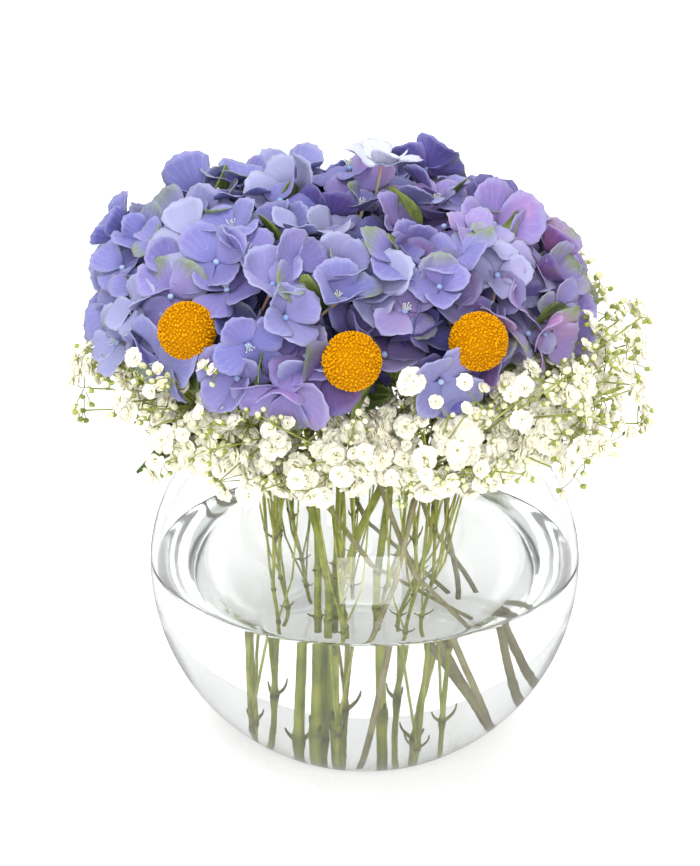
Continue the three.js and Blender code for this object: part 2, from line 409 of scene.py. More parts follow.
def disc(size):
    """A square grid u, v stretched into a disc: x = u sqrt(1 - v²/2) and y = v sqrt(1 - u²/2)."""
    u, v = np.meshgrid(np.linspace(-1, 1, size), np.linspace(-1, 1, size), indexing="ij")
    return u * np.sqrt(1 - v * v / 2), v * np.sqrt(1 - u * u / 2)


def spread_on_ball(many):
    """Directions spread evenly over a ball: equal steps in height, each turned by the golden angle."""
    height = 1 - (np.arange(many) + 0.5) * 2 / many
    turn = np.arange(many) * GOLDEN_ANGLE
    level = np.sqrt(1 - height**2)
    return np.stack([level * np.cos(turn), level * np.sin(turn), height], axis=-1)


# ---------------------------------------------------------------- materials


def add_node(tree, kind, inputs=None, **settings):
    """Adds a node to a tree, sets its settings, and joins or sets its inputs."""
    made = tree.nodes.new(kind)
    for name, value in settings.items():
        setattr(made, name, value)
    for socket, value in (inputs or {}).items():
        if isinstance(value, bpy.types.NodeSocket):
            tree.links.new(value, made.inputs[socket])
        else:
            made.inputs[socket].default_value = value
    return made


class Shade:
    """A material's nodes, with short ways to add and join them."""

    def __init__(self, name, **values):
        self.material = bpy.data.materials.new(name)
        self.material.use_nodes = True
        self.tree = self.material.node_tree
        self.shader = self.tree.nodes["Principled BSDF"]
        for socket, value in values.items():
            self.shader.inputs[socket.replace("_", " ")].default_value = value

    def node(self, kind, inputs=None, **settings):
        """Adds a node to the material."""
        return add_node(self.tree, kind, inputs, **settings)

    def join(self, output, socket):
        """Joins an output to one of the shader's sockets."""
        self.tree.links.new(output, self.shader.inputs[socket])

    def math(self, operation, first, second, clamp=False):
        """The result of one sum."""
        return self.node(
            "ShaderNodeMath", {0: first, 1: second}, operation=operation, use_clamp=clamp
        ).outputs[0]

    def mix(self, share, *colours):
        """Two colours mixed by a share, each an output or three numbers."""
        first, second = (
            colour if isinstance(colour, bpy.types.NodeSocket) else (*colour, 1.0) for colour in colours
        )
        return self.node("ShaderNodeMix", {0: share, 6: first, 7: second}, data_type="RGBA").outputs[2]

    def mark(self, name):
        """The number that the mesh carries under a name."""
        return self.node("ShaderNodeAttribute", attribute_name=name).outputs["Fac"]

    def ramp(self, value, low, high):
        """A value brought from between low and high to between 0 and 1, smoothly."""
        return self.node(
            "ShaderNodeMapRange",
            {"Value": value, "From Min": low, "From Max": high},
            interpolation_type="SMOOTHSTEP",
        ).outputs[0]

    def mottle(self, **scales):
        """Mottling at this material's own scales."""
        return self.node("ShaderNodeGroup", scales, node_tree=mottle_group()).outputs

    def veins(self, many):
        """Veins, this many waves for each radian of the fan."""
        return self.node("ShaderNodeGroup", {"Veins": many}, node_tree=veins_group()).outputs

    def roughen(self, value, by, plus):
        """Joins a value times a number plus another to the shader's roughness."""
        self.join(self.math("ADD", self.math("MULTIPLY", value, by), plus), "Roughness")

    def bump(self, height, distance, strength):
        """Joins a height to the shader's normal through a Bump node."""
        bump = self.node("ShaderNodeBump", {"Height": height, "Distance": distance, "Strength": strength})
        self.join(bump.outputs[0], "Normal")


def new_group(name, inputs, outputs):
    """An empty shader node group with named number inputs and outputs."""
    tree = bpy.data.node_groups.new(name, "ShaderNodeTree")
    for label, value in inputs.items():
        socket = tree.interface.new_socket(label, in_out="INPUT", socket_type="NodeSocketFloat")
        socket.default_value = value
    for label in outputs:
        tree.interface.new_socket(label, in_out="OUTPUT", socket_type="NodeSocketFloat")
    return tree, tree.nodes.new("NodeGroupInput"), tree.nodes.new("NodeGroupOutput")


@functools.cache
def mottle_group():
    """Uneven growth: a noise on Object coordinates, 0 to 1, at three scales."""
    scales = {"Broad": 30.0, "Coarse": 60.0, "Fine": 900.0}
    tree, given, result = new_group("Mottle", scales, list(scales))
    place = tree.nodes.new("ShaderNodeTexCoord").outputs["Object"]
    for label in scales:
        inputs = {"Vector": place, "Scale": given.outputs[label], "Detail": 3}
        noise = add_node(tree, "ShaderNodeTexNoise", inputs)
        tree.links.new(noise.outputs["Fac"], result.inputs[label])
    return tree


@functools.cache
def veins_group():
    """Fine veins that fan out from a sepal's base.

    The angle about a point just behind the base is spread into many sine waves, bent a little by
    noise. The veins are the waves' narrow tops, and fade towards the base.
    """
    tree, given, result = new_group("Veins", {"Veins": 26.0}, ["Veins", "Along", "Edge"])

    def sum_(operation, first, second=0.0, third=0.0):
        inputs = {0: first, 1: second, 2: third}
        return add_node(tree, "ShaderNodeMath", inputs, operation=operation).outputs[0]

    place = add_node(tree, "ShaderNodeUVMap", uv_map="surface").outputs[0]
    split = add_node(tree, "ShaderNodeSeparateXYZ", {0: place})
    along, across = split.outputs[0], split.outputs[1]
    noise = add_node(tree, "ShaderNodeTexNoise", {"Vector": place, "Scale": 5})
    wobble = sum_("MULTIPLY", sum_("SUBTRACT", noise.outputs["Fac"], 0.5), 0.25)
    angle = sum_("ARCTAN2", sum_("SUBTRACT", across, 0.5), sum_("ADD", along, 0.12))
    wave = sum_("SINE", sum_("MULTIPLY", sum_("ADD", angle, wobble), given.outputs["Veins"]))
    veins = sum_("POWER", sum_("MULTIPLY_ADD", wave, 0.5, 0.5), 6.0)
    tree.links.new(sum_("MULTIPLY", veins, sum_("MINIMUM", along, 1.0)), result.inputs["Veins"])
    tree.links.new(along, result.inputs["Along"])
    # how near the sheet's own edge: the larger of the distances from its middle and its middle line
    tip = sum_("MULTIPLY_ADD", along, 2.0, -1.0)
    side = sum_("ABSOLUTE", sum_("MULTIPLY_ADD", across, 2.0, -1.0))
    far = sum_("MAXIMUM", tip, side)
    tree.links.new(far, result.inputs["Edge"])
    return tree


# painted light: the white of a pale sepal that light shines through
PAINTED_BACKLIGHT_WHITE = (0.54, 0.56, 0.7)
SCAR = (0.075, 0.04, 0.022)
POLLEN = (0.86, 0.43, 0.0)
PETAL_HEART = (0.8, 0.8, 0.42)
PETAL_CREAM = (0.86, 0.85, 0.72)
LEAF_VEIN = (0.3, 0.36, 0.12)


def sepal_material(look, name, fade):
    """A hydrangea sepal: blue to lilac, mottled, with fine veins, a pale edge and some green tips."""
    shade = Shade(name, Roughness=0.55, Specular_IOR_Level=0.35, Sheen_Weight=0.1, Sheen_Roughness=0.5)
    mottle = shade.mottle(Broad=34.0, Coarse=85.0, Fine=1300.0)
    veins = shade.veins(30.0)
    patch = shade.math("MULTIPLY", shade.math("SUBTRACT", mottle["Coarse"], 0.5), 1.1)
    tint = shade.math("ADD", shade.mark("tint"), patch, clamp=True)
    base = shade.mix(tint, look.blue, look.lilac)
    flush = shade.math("MULTIPLY", shade.ramp(tint, 0.5, 1.0), shade.ramp(mottle["Broad"], 0.42, 0.62))
    base = shade.mix(shade.math("MULTIPLY", flush, 0.85), base, look.pink)
    edge = shade.math("MULTIPLY", shade.ramp(veins["Edge"], 0.6, 1.05), 0.32)
    bright = shade.math("ADD", shade.mark("pale"), edge, clamp=True)
    bright = shade.math("ADD", bright, fade, clamp=True)
    base = shade.mix(bright, base, look.pale)
    tip = shade.math("MULTIPLY", shade.ramp(veins["Along"], 0.45, 0.95), shade.mark("green"))
    tip = shade.math("MULTIPLY", tip, shade.ramp(mottle["Coarse"], 0.3, 0.6))
    base = shade.mix(tip, base, look.green)
    # painted light: a pale mark past 1 paints the sepal white, standing in for light shining through it
    white = shade.math("SUBTRACT", shade.mark("pale"), 1.0, clamp=True)
    base = shade.mix(white, base, PAINTED_BACKLIGHT_WHITE)
    line = shade.math("MULTIPLY", veins["Veins"], 0.3)
    base = shade.mix(line, base, look.pale)
    # painted shade: sepals deep in the dome are darkened towards the deep colour, standing in for the
    # shade among the florets
    base = shade.mix(shade.math("MULTIPLY", shade.mark("deep"), 0.86), base, look.deep)
    fleck = shade.math("MULTIPLY", mottle["Fine"], 0.3)
    shade.join(base, "Base Color")
    shade.roughen(mottle["Fine"], 0.25, 0.42)
    height = shade.math("ADD", shade.math("MULTIPLY", veins["Veins"], 0.7), fleck)
    shade.bump(height, 0.00025, 0.7)
    return shade.material


def grown_material(name, low, high, roughness, grain=500.0, **values):
    """A plain living surface: two colours mixed by coarse mottling, darker in its marks, fine grain."""
    shade = Shade(name, Roughness=roughness, **values)
    mottle = shade.mottle(Coarse=90.0, Fine=grain)
    base = shade.mix(shade.ramp(mottle["Coarse"], 0.3, 0.7), low, high)
    base = shade.mix(shade.mark("scar"), base, SCAR)
    shade.join(base, "Base Color")
    shade.roughen(mottle["Fine"], 0.3, roughness - 0.15)
    shade.bump(mottle["Fine"], 0.0003, 0.5)
    return shade.material


def button_material(look):
    """A billy button: golden floret tops over darker amber gaps, with a fine grain of pollen."""
    shade = Shade("button_florets", Roughness=0.8, Specular_IOR_Level=0.12)
    mottle = shade.mottle(Coarse=160.0, Fine=2600.0)
    top = shade.ramp(shade.mark("top"), 0.15, 0.9)
    uneven = shade.math("MULTIPLY_ADD", mottle["Fine"], 0.5)
    base = shade.mix(top, look.amber, look.gold)
    base = shade.mix(shade.math("MULTIPLY", uneven, 0.5), base, POLLEN)
    shade.join(base, "Base Color")
    shade.roughen(mottle["Coarse"], 0.2, 0.62)
    shade.bump(mottle["Fine"], 0.0005, 0.8)
    return shade.material


def petal_material(look):
    """A baby's breath petal: white, greener towards the flower's middle, softly creased."""
    shade = Shade("breath_petal", Roughness=0.6)
    mottle = shade.mottle(Coarse=200.0, Fine=1800.0)
    veins = shade.veins(14.0)
    heart = shade.math("SUBTRACT", 1.0, shade.ramp(veins["Along"], 0.0, 0.5))
    heart = shade.math("MULTIPLY", heart, 0.5)
    base = shade.mix(heart, look.white, PETAL_HEART)
    base = shade.mix(shade.math("MULTIPLY", mottle["Coarse"], 0.15), base, PETAL_CREAM)
    shade.join(base, "Base Color")
    shade.roughen(mottle["Fine"], 0.2, 0.5)
    shade.bump(veins["Veins"], 0.0002, 0.5)
    return shade.material


def leaf_material(name, dark, light):
    """An olive leaf with a paler midrib and side veins."""
    shade = Shade(name, Roughness=0.5, Coat_Weight=0.15, Coat_Roughness=0.4)
    mottle = shade.mottle(Coarse=80.0, Fine=1200.0)
    veins = shade.veins(18.0)
    base = shade.mix(shade.ramp(mottle["Coarse"], 0.35, 0.65), dark, light)
    base = shade.mix(shade.math("MULTIPLY", veins["Veins"], 0.6), base, LEAF_VEIN)
    shade.join(base, "Base Color")
    shade.roughen(mottle["Fine"], 0.2, 0.4)
    shade.bump(shade.math("ADD", veins["Veins"], mottle["Fine"]), 0.0005, 0.6)
    return shade.material


def clear_material(name, tint, index, ripple, distance):
    """A clear material with a given index of refraction, whose surface swells very slightly."""
    shade = Shade(name, Roughness=0.0, IOR=index, Transmission_Weight=1.0)
    mottle = shade.mottle(Coarse=ripple, Fine=400.0)
    darker = [value * 0.985 for value in tint]
    shade.join(shade.mix(mottle["Fine"], tint, darker), "Base Color")
    shade.bump(mottle["Coarse"], distance, 1.0)
    return shade.material


# ---------------------------------------------------------------- the bowl and the water


def bowl_radius(bowl, height, inset):
    """The wall's radius at a height: a circle below the waist and a flatter ellipse above it."""
    half = np.where(height > bowl.waist, bowl.crown, bowl.radius) - inset
    return (bowl.radius - inset) * np.sqrt(np.maximum(0, 1 - ((height - bowl.waist) / half) ** 2))


def wall_line(bowl, low, high, inset, rows):
    """Radius and height up the wall, evenly spaced in the angle of its two arcs."""

    def turn(height):
        half = (bowl.crown if height > bowl.waist else bowl.radius) - inset
        return math.asin((height - bowl.waist) / half)

    angle = np.linspace(turn(low), turn(high), rows)
    half = np.where(angle > 0, bowl.crown, bowl.radius) - inset
    height = bowl.waist + half * np.sin(angle)
    return np.stack([bowl_radius(bowl, height, inset), height], axis=-1)


def corner_curve(start, corner, end, rows=9):
    """A rounded corner: a parabola from start to end that leans on the corner."""
    share = np.linspace(0, 1, rows)[:, None]
    start, corner, end = np.array(start), np.array(corner), np.array(end)
    return start * (1 - share) ** 2 + corner * 2 * share * (1 - share) + end * share**2


def bowl_outline(bowl):
    """The bowl's outline: flat foot, outer wall, round rim, inner wall and floor."""
    outer = wall_line(bowl, 1.6 * MM, bowl.height, 0, 70)
    inner = wall_line(bowl, bowl.floor + 2 * MM, bowl.height, bowl.wall, 64)[::-1]
    foot = bowl_radius(bowl, np.array(0.0), 0)
    ledge = bowl_radius(bowl, np.array(bowl.floor), bowl.wall)
    foot_curve = corner_curve((foot - 3 * MM, 0), (foot, 0), outer[0])
    floor_curve = corner_curve(inner[-1], (ledge, bowl.floor), (ledge - 4 * MM, bowl.floor))
    centre = (outer[-1] + inner[0]) / 2
    half = (outer[-1] - inner[0]) / 2
    turn = np.linspace(0, np.pi, 13)[1:-1, None]
    rim = centre + half * np.cos(turn) + np.array([0, half[0]]) * np.sin(turn) * 0.7
    pole = [[0.4 * MM, 0.0]]
    hub = [[0.4 * MM, bowl.floor]]
    return np.concatenate([pole, foot_curve[:-1], outer, rim, inner, floor_curve[1:], hub])


def water_outline(bowl):
    """The water's outline, a little inside the glass all round, so that no air is left between.

    The surface climbs the wall by the meniscus, an exponential over a few millimetres.
    """
    inset = bowl.wall - 0.6 * MM
    climb = 1.3 * MM
    bottom = bowl.floor - 0.6 * MM
    side = wall_line(bowl, bottom + 2 * MM, bowl.level + climb, inset, 60)
    ledge = bowl_radius(bowl, np.array(bottom), inset)
    low = corner_curve((ledge - 4 * MM, bottom), (ledge, bottom), side[0])
    away = np.concatenate([np.linspace(0.3, 8, 16) * MM, np.linspace(12, 94, 8) * MM])
    top = np.stack([side[-1, 0] - away, bowl.level + climb * np.exp(-away / (1.8 * MM))], axis=-1)
    return np.concatenate([[[0.4 * MM, bottom]], low[:-1], side, top, [[0.4 * MM, bowl.level]]])


class FLOWERS_OT_bowl(bpy.types.Operator):
    """Make the clear glass bowl"""

    bl_idname = "flowers.bowl"
    bl_label = "Glass Bowl"

    def execute(self, context):
        bowl = context.scene.flower_bowl
        bunch = Bunch()
        bunch.add(lathe(bowl_outline(bowl), 160), closed=True)
        glass = clear_material("clear_glass", bowl.glass, 1.5, 20.0, 0.0001)
        bunch.make("glass_bowl", [glass], "vase")
        return {"FINISHED"}


class FLOWERS_OT_water(bpy.types.Operator):
    """Fill the bowl with water"""

    bl_idname = "flowers.water"
    bl_label = "Water"

    def execute(self, context):
        bowl = context.scene.flower_bowl
        bunch = Bunch()
        bunch.add(lathe(water_outline(bowl), 128), closed=True)
        bunch.make("clear_water", [clear_material("water", bowl.water, 1.333, 30.0, 0.00015)], "water")
        return {"FINISHED"}


# ---------------------------------------------------------------- the hydrangeas


DOME_SHIFT = np.array([3 * MM, 0, 0])
ROOM_IN_FRONT = 20 * MM  # from the middle of a button to the nearest floret
ROOM_BEHIND = 14.5 * MM
ROOM_INSIDE = 15 * MM  # the same for the florets under the surface
LOWEST_FLORET = 38 * MM  # above the bowl's rim
LEAVES_AMONG = 26  # small leaves among the florets
LEAVES_UNDER = 150  # and under the dome
STANDING_FLORET = np.array([19 * MM, -8 * MM, 5 * MM])  # from the top of the dome


def dome_frame(look):
    """The dome's middle at its widest place, and its radius, from the heads' boxes."""
    low = np.min([corners(name)[0] for name in HEADS], axis=0)
    high = np.max([corners(name)[1] for name in HEADS], axis=0)
    centre = (low + high) / 2
    centre[2] = high[2] - look.rise
    return centre - DOME_SHIFT, (high[0] - low[0] + high[1] - low[1]) / 4


def dome_shell(look, many, lowest, inset, turn):
    """Points and outward directions spread evenly over the dome.

    Going down from the top, each point takes an equal share of the area, and turns by the golden
    angle. The surface is a spheroid, shallower below its widest place, and its level circles are
    widened a little towards the top by a power of the sine.
    """
    centre, radius = dome_frame(look)
    down = np.linspace(0, lowest, 500)
    band = np.sin(down) * np.hypot(radius * np.cos(down), look.rise * np.sin(down))
    area = np.cumsum(band)
    angle = np.interp((np.arange(many) + 0.5) / many, area / area[-1], down)
    around = turn + np.arange(many) * GOLDEN_ANGLE
    tall = np.where(angle < np.pi / 2, look.rise, look.depth) - inset
    wide = radius - inset
    level = np.sin(angle) ** 0.84
    offset = np.stack(
        [wide * level * np.cos(around), wide * level * np.sin(around), tall * np.cos(angle)], axis=-1
    )
    return centre + offset, unit(offset / np.stack([wide + 0 * tall, wide + 0 * tall, tall], axis=-1) ** 2)


def head_of(look, points):
    """For each point, which head it belongs to, and how far it lies from that head's border.

    The top head has the points near the dome's axis, and the rest go by angle to the nearest head.
    """
    centre, _ = dome_frame(look)
    flat = points[:, :2] - centre[:2]
    hubs = np.array([middle(name)[:2] - centre[:2] for name in HEADS])
    away = np.hypot(*flat.T)
    turn = np.arctan2(flat[:, 1], flat[:, 0])[:, None] - np.arctan2(hubs[:, 1], hubs[:, 0])
    turn = np.abs((turn + np.pi) % (2 * np.pi) - np.pi)
    top = HEADS.index("hydrangea_head_top")
    turn[:, top] = np.inf
    owner = np.where(away < look.core, top, turn.argmin(axis=1))
    sorted_turn = np.sort(turn, axis=1)
    to_side = (sorted_turn[:, 1] - sorted_turn[:, 0]) / 2 * away
    border = np.where(away < look.core, look.core - away, np.minimum(to_side, away - look.core))
    return owner, border


def sepals(rng, centres, axes, sizes, cups, size):
    """Four broad sepals to a floret, shaped (florets, 4, size, size, 3).

    A sepal starts as a disc. Its length runs out from the floret's middle, its width narrows
    towards the base, and its tip is drawn to a blunt point. It bends along its length as a square,
    troughs across as a square, twists as the product of the two, and waves round its edge as a
    sine. Every second sepal lies a little higher than its neighbours.
    """
    x, y = disc(size)
    many = len(centres)
    vary = functools.partial(rng.uniform, size=(many, 4, 1, 1))
    along = (x + 1) / 2
    teeth = 1 + np.where(np.hypot(x, y) > 0.985, 0.018 * (-1.0) ** np.add(*np.indices(x.shape)), 0)
    long_ = sizes[:, None, None, None] * vary(0.82, 1.12)
    wide = long_ * vary(1.02, 1.34)
    angle = np.arctan2(y, x)
    px = long_ * (0.04 + along * teeth + 0.07 * (1 - np.abs(y)) * along**4)
    py = wide / 2 * y * teeth * (0.42 + 0.58 * np.clip(along * 1.5, 0, 1) ** 0.8)
    bend = vary(-0.42, 0.26) * along**2
    trough = vary(-0.14, 0.42) * y**2 * along
    twist = vary(-0.22, 0.22) * y * along
    wave = vary(0.02, 0.085) * np.hypot(x, y) ** 2 * np.sin(3 * angle + vary(0, 6.28))
    fold = -vary(0, 0.08) * np.exp(-((y / 0.25) ** 2)) * along
    pz = long_ * (bend + trough + twist + wave + fold)
    order = np.arange(4)[None, :, None, None]
    lift = cups[:, None, None, None] + vary(-0.22, 0.22) + 0.12 * (order % 2)
    px, pz = turned(px, pz, lift)
    pz = pz + 0.6 * MM * (order % 2)
    px, py = turned(px, py, order * np.pi / 2 + vary(-0.16, 0.16))
    side, over = frames(axes, rng.uniform(0, 2 * np.pi, many))
    return laid(centres, (side, over, axes), (px, py, pz))


def floret_layout(look, rng):
    """Every floret's middle, direction, sepal length, cup angle, head and painted shade, more in the
    layers behind.

    Each layer is spread over the dome and shaken by normal draws. Where two heads meet, the
    florets sink in a groove, a bell curve of the distance from the border. The last floret is the
    pale one that stands up at the top.
    """
    # how many, lowest angle, inset, turn, painted shade and how far the florets lean from straight out
    layers = (
        (look.outer, 1.86, 9.5 * MM, 0.4, 0.0, 0.38),
        (look.inner, 1.8, 20 * MM, 2.1, 0.6, 0.45),
        # the core florets are painted nearly all dark, standing in for the shade in the dome's middle
        (look.core_florets, 1.8, 34 * MM, 1.2, 1.0, 0.5),
    )
    parts = []
    for many, lowest, inset, turn, deep, lean in layers:
        points, outward = dome_shell(look, many, lowest, inset, turn)
        points = points + rng.normal(0, 2.6 * MM, points.shape)
        points = points + outward * rng.uniform(-5, 4, (many, 1)) * MM
        axes = unit(outward + rng.normal(0, lean, (many, 3)) + np.array([0, -0.1, 0.16]))
        sizes = look.sepal * rng.uniform(0.8, 1.14, many)
        flat = rng.uniform(0, 1, many) < 0.75
        cups = np.where(flat, rng.uniform(-0.2, 0.5, many), rng.uniform(0.5, 0.95, many))
        parts.append((points, axes, outward, sizes, cups, np.full(many, deep)))
    centre, _ = dome_frame(look)
    # one floret closes over each button at the back
    behind = np.array([middle(name) for name in BUTTONS if middle(name)[1] > 0])
    over = behind + np.array([0, -15 * MM, 9 * MM])
    way = unit(over - centre)
    none = np.zeros(len(over))
    parts.append((over, way, way, none + look.sepal, none, none))
    # and one pale floret stands up on a long stalk at the top
    up = unit(np.array([[0.05, -0.02, 1.0]]))
    place = centre + np.array([[0, 0, look.rise]]) + STANDING_FLORET
    parts.append((place, up, up, [0.95 * look.sepal], [0.3], [0.0]))
    points, axes, outward, sizes, cups, deep = (np.concatenate(part) for part in zip(*parts))
    owner, border = head_of(look, points)
    points = points - outward * (5 * MM * np.exp(-((border / (8 * MM)) ** 2)))[:, None]
    keep = np.full(len(points), True)
    for name in BUTTONS:
        gap = np.linalg.norm(points - middle(name), axis=1)
        room = ROOM_IN_FRONT if middle(name)[1] < 0 else ROOM_BEHIND
        keep &= gap > np.where(deep > 0, ROOM_INSIDE, room)
    keep &= points[:, 2] > corners("vase")[1][2] + LOWEST_FLORET
    return [part[keep] for part in (points, axes, sizes, cups, owner, deep)]


def inner_leaves(look, rng):
    """Small leaves among the florets and a thicket of them under the dome: their places and sheets.

    A leaf's width swells and closes as a sine of its length, it is folded a little along its
    middle, and it arches back as a square of its length.
    """
    centre, radius = dome_frame(look)
    points, outward = dome_shell(look, LEAVES_AMONG, 1.6, 12 * MM, 3.3)
    away = (radius - 22 * MM) * np.sqrt((np.arange(LEAVES_UNDER) + 0.5) / LEAVES_UNDER)
    turn = np.arange(LEAVES_UNDER) * GOLDEN_ANGLE
    drop = -(look.depth - 4 * MM) * np.sqrt(1 - (away / radius) ** 2)
    drop = drop + rng.uniform(-3, 10, LEAVES_UNDER) * MM
    under = centre + level_ways(turn) * away[:, None] + UP * drop[:, None]
    points = np.concatenate([points + rng.normal(0, 3 * MM, points.shape), under])
    outward = np.concatenate([outward, level_ways(turn) - UP * 0.15])
    for name in BUTTONS:
        clear = np.linalg.norm(points - middle(name), axis=1) > 30 * MM
        points, outward = points[clear], outward[clear]
    ways = unit(outward + rng.normal(0, 0.5, outward.shape))
    side, over = frames(ways, rng.uniform(0, 6.28, len(ways)))
    u, v = np.meshgrid(np.linspace(0, 1, 9), np.linspace(-1, 1, 5), indexing="ij")
    long_ = rng.uniform(20, 30, (len(ways), 1, 1)) * MM
    wide = long_ * 0.34 * np.sin(np.pi * np.clip(u, 0.04, 0.96) ** 0.85) ** 0.8
    rise = long_ * (-0.2 * u**2 + 0.08 * np.abs(v) * np.sin(np.pi * u))
    return points, laid(points, (ways, side, over), (long_ * (u - 0.5), wide * v, rise))


def add_stamens(bunch, rng, centres, axes):
    """Eight fine filaments with an anther each, fanned out over an open floret's middle."""
    many = len(centres)
    side, over = frames(axes)
    turn = np.arange(8) * np.pi / 4 + rng.uniform(0, 1, (many, 1))
    lean = rng.uniform(0.25, 0.6, (many, 8, 1))
    sideways = side[:, None] * np.cos(turn)[..., None] + over[:, None] * np.sin(turn)[..., None]
    way = unit(axes[:, None] + sideways * lean).reshape(-1, 3)
    start = np.repeat(centres, 8, axis=0)
    tip = start + way * rng.uniform(3.2, 4.6, (len(way), 1)) * MM
    bunch.stalks(start, tip, np.zeros_like(way), 2, 0.16 * MM, 4, slot=2)
    bunch.beads(tip, way, 0.38 * MM, 0.45 * MM, 3, 4, slot=2)


def to_sepals(values):
    """A number for each floret, given to each of its four sepals."""
    return np.repeat(values, 4)[:, None, None]


def depth_in_dome(look, points):
    """How deep points lie in the dome: 0 at its surface, 1 from about a quarter of the way in."""
    centre, radius = dome_frame(look)
    offset = points - centre
    tall = np.where(offset[..., 2] > 0, look.rise, look.depth)
    level = np.linalg.norm(offset[..., :2], axis=-1)
    return np.clip((0.99 - np.hypot(level / radius, offset[..., 2] / tall)) / 0.26, 0, 1)


def add_hearts(bunch, look, rng, name, tips, axes, outermost):
    """Each floret's stalk and the bud at its middle, with stamens in one in five of the outer ones."""
    hub = middle(name) * [1, 1, 0] + UP * corners(name)[0][2]
    roots = tips + (hub - tips) * 0.45
    bow = unit(np.cross(tips - roots, axes)) * rng.uniform(-2, 2, (len(tips), 1)) * MM
    bunch.stalks(roots, tips, bow, 5, look.stalk, 6)
    shown = (rng.uniform(0, 1, len(tips)) < 0.2) & outermost
    buds = tips + axes * 1.3 * MM
    bunch.beads(buds, axes, 1.45 * MM, 1.35 * MM, 5, 8, slot=1)
    if shown.any():
        add_stamens(bunch, rng, buds[shown], axes[shown])


class FLOWERS_OT_hydrangea_heads(bpy.types.Operator):
    """Make the five hydrangea heads, each with its sepals, and its buds and stalks"""

    bl_idname = "flowers.hydrangea_heads"
    bl_label = "Hydrangea Heads"

    def execute(self, context):
        look = context.scene.flower_hydrangea
        rng = np.random.default_rng(7)
        centre, radius = dome_frame(look)
        face = sepal_material(look, "sepal_face", 0.0)
        back = sepal_material(look, "sepal_back", 0.26)
        stalk = grown_material("floret_stalk", (0.36, 0.36, 0.2), (0.44, 0.24, 0.22), 0.6)
        bud = grown_material("floret_bud", (0.2, 0.33, 0.62), (0.42, 0.52, 0.72), 0.5)
        stamen = grown_material("floret_stamen", (0.7, 0.7, 0.5), (0.5, 0.6, 0.75), 0.6)
        leaf = leaf_material("inner_leaf", (0.045, 0.075, 0.012), (0.19, 0.24, 0.055))
        points, axes, sizes, cups, owner, deep = floret_layout(look, rng)
        leaf_places, leaf_sheets = inner_leaves(look, rng)
        leaf_owner, _ = head_of(look, leaf_places)
        across = (points[:, 0] - centre[0]) / radius
        tint = np.clip(0.4 + 0.5 * across + rng.normal(0, 0.3, len(points)), 0, 1)
        pale = np.clip(rng.normal(0.05, 0.26, len(points)) - 0.12 * across, 0, 0.9)
        # painted light: the standing floret is pale, and is painted white besides for the light shining
        # through its sepals
        pale[-1] = 2.0  # past 1 the mark turns the standing floret white
        green = (rng.uniform(0, 1, (len(points), 4)) < 0.14) * rng.uniform(0.5, 1, (len(points), 4))
        for at, name in enumerate(HEADS):
            mine = owner == at
            short = name.removeprefix("hydrangea_head_")
            petals = Bunch()
            for layer, size in ((mine & (deep == 0), 8), (mine & (deep > 0), 6)):
                shape = sepals(rng, points[layer], axes[layer], sizes[layer], cups[layer], size)
                grid = shape.reshape(-1, *shape.shape[2:])
                uneven = rng.uniform(-1, 1, (len(grid), 1, 1))
                petals.add(
                    grid,
                    tint=np.clip(to_sepals(tint[layer]) + 0.1 * uneven, 0, 1),
                    pale=to_sepals(pale[layer]) + 0.06 + 0.06 * uneven,
                    green=green[layer].reshape(-1, 1, 1),
                    # painted shade: the deeper a sepal lies in the dome, the darker it is painted
                    deep=np.maximum(depth_in_dome(look, grid), to_sepals(deep[layer])),
                )
            petals.make(f"hydrangea_sepals_{short}", [face, back], name, thickness=0.35 * MM, back=1)
            inside = Bunch()
            add_hearts(inside, look, rng, name, points[mine], axes[mine], deep[mine] == 0)
            inside.make(f"hydrangea_stalks_{short}", [stalk, bud, stamen], name)
            if (leaf_owner == at).any():
                leaves = Bunch()
                leaves.add(leaf_sheets[leaf_owner == at])
                leaves.make(f"hydrangea_leaves_{short}", [leaf], name, thickness=0.4 * MM)
        return {"FINISHED"}


# ---------------------------------------------------------------- stems


def knotted(rng, path, heights, stray, swelling, scar):
    """Where a stem's knots sit, strayed a little, and how near each point of the path is to them.

    The nearness is a sum of bell curves, once with the swelling's width and once with the scar's.
    """
    places = np.array(heights) + rng.uniform(-stray, stray, len(heights)) * MM
    away = path[:, 2, None] - places
    hump, ring = (np.exp(-((away / (width * MM)) ** 2)).sum(axis=1) for width in (swelling, scar))
    return places, hump, ring


def ribbed(path, radius, sides, ribs, depth):
    """A stem with a few shallow ribs: its radius swings by a cosine of the angle round it."""
    grid = rods(path[None], radius[None], sides)
    turn = np.linspace(0, 2 * np.pi, sides, endpoint=False)
    swing = 1 + depth * np.cos(ribs * turn)[None, None, :, None]
    return path[None, :, None] + (grid - path[None, :, None]) * swing


class FLOWERS_OT_hydrangea_stems(bpy.types.Operator):
    """Make the hydrangeas' thick green stems, with knots where leaves were cut"""

    bl_idname = "flowers.hydrangea_stems"
    bl_label = "Hydrangea Stems"

    def execute(self, context):
        look = context.scene.flower_hydrangea
        rng = np.random.default_rng(11)
        bark = grown_material("hydrangea_stem", (0.25, 0.3, 0.025), (0.52, 0.56, 0.08), 0.45, 700.0)
        for name in nodes_named("hydrangea_stem_"):
            path = stem_line(name, 90)
            height = path[:, 2] / path[-1, 2]
            places, hump, ring = knotted(rng, path, (0.03, 0.075, 0.128), 8, 3, 1.6)
            radius = look.stem * (1.04 - 0.12 * height) + hump * 0.6 * MM
            bunch = Bunch()
            bunch.add(ribbed(path, radius, 20, 6, 0.035), closed=True, scar=(0.5 * ring)[None, :, None])
            add_stubs(bunch, rng, path, places, look.stem, 7 * MM, 0.9 * MM)
            bunch.make(f"{name}_grown", [bark], name)
        return {"FINISHED"}


